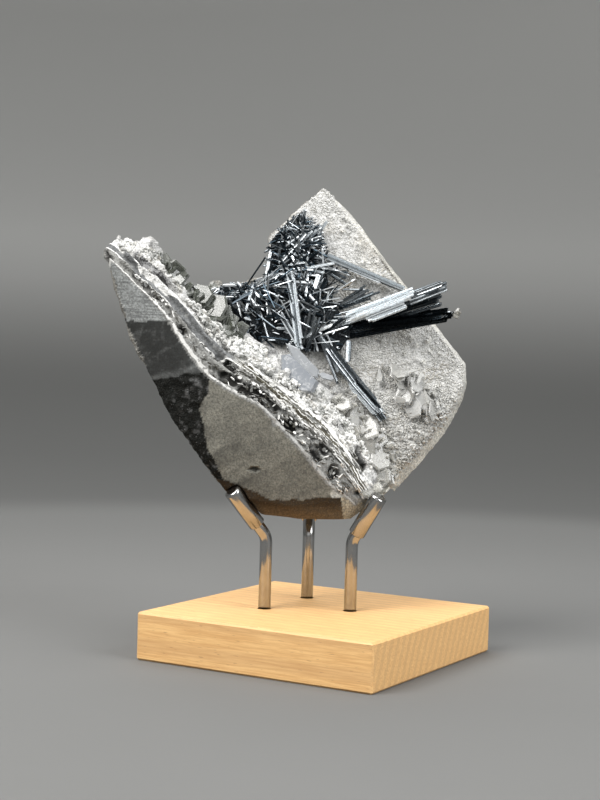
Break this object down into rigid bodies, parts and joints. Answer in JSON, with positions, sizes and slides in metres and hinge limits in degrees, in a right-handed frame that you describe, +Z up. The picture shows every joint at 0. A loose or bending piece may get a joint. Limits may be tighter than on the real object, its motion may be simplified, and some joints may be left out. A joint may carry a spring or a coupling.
{
  "type": "barite and stibnite crystal cluster on a stand",
  "caption": "Grey vein rock with clear tabular barite and metallic bladed stibnite, held by bent steel prongs in a square beech block.",
  "frame": {"origin": "centre of the wooden block's underside, on the surface it stands on", "axes": "+Z up; +X and +Y along the block's sides; the specimen's open face looks towards -Y, turned 30 degrees towards +X"},
  "size_m": [0.0989, 0.0806, 0.1464],
  "materials": {
    "beech": "fine sanded, oiled",
    "steel": "polished",
    "rock": "matte stone",
    "stibnite": "metallic, striated",
    "barite": "clear to frosted"
  },
  "bodies": {
    "root": {"wood_block": "beech", "prong_rod_left": "steel", "prong_rod_right": "steel", "prong_rod_back": "steel", "prong_sleeve_left": "steel", "prong_sleeve_right": "steel", "prong_sleeve_back": "steel", "matrix_rock": "rock", "stibnite_crystals": "stibnite", "barite_crest_plates": "barite", "barite_broad_plate": "barite", "barite_foot_cluster": "barite", "barite_rosette": "barite"}
  },
  "joints": []
}
